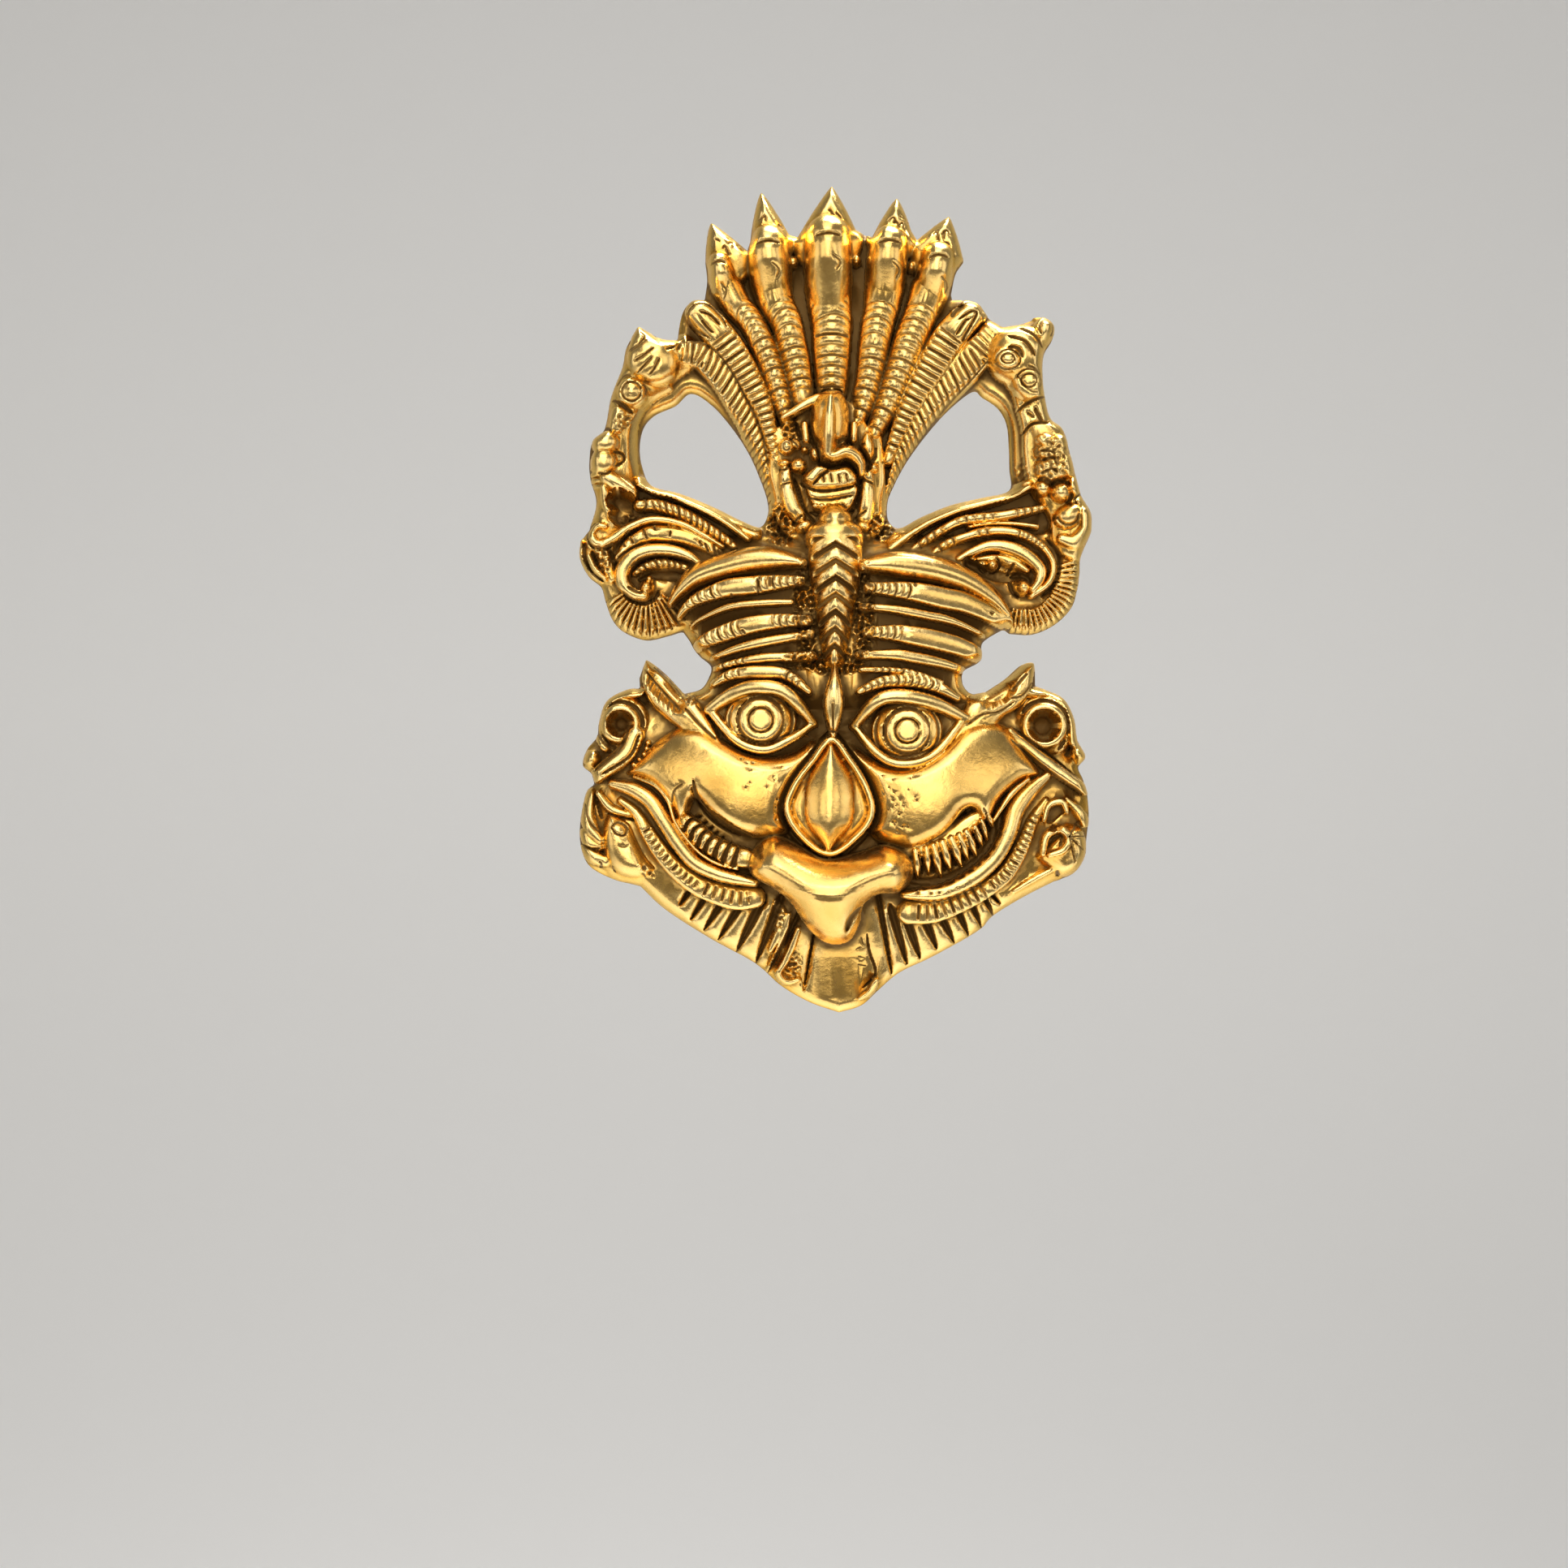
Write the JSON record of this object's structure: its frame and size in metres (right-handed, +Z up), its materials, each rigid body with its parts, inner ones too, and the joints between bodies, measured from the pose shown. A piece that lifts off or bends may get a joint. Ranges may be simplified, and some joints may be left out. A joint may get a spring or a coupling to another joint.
{
  "type": "mask",
  "caption": "Cast brass wall mask of a fanged lion-like guardian face under a fan of hooded snakes, with a hollow back and a bar to hang it by.",
  "frame": {"origin": "on the flat back, on the centre line 14 mm above the top of the forehead, where the back is solid and bears on the wall", "axes": "+Z up as the mask hangs, +X to the right of someone who looks at the face, +Y back into the wall"},
  "size_m": [0.087, 0.0257, 0.1401],
  "materials": {
    "brass": "polished by hand on the raised forms, with dark brown patina left in the recesses and the engraved lines"
  },
  "bodies": {
    "root": {"kirtimukha_casting": "brass"}
  },
  "joints": []
}
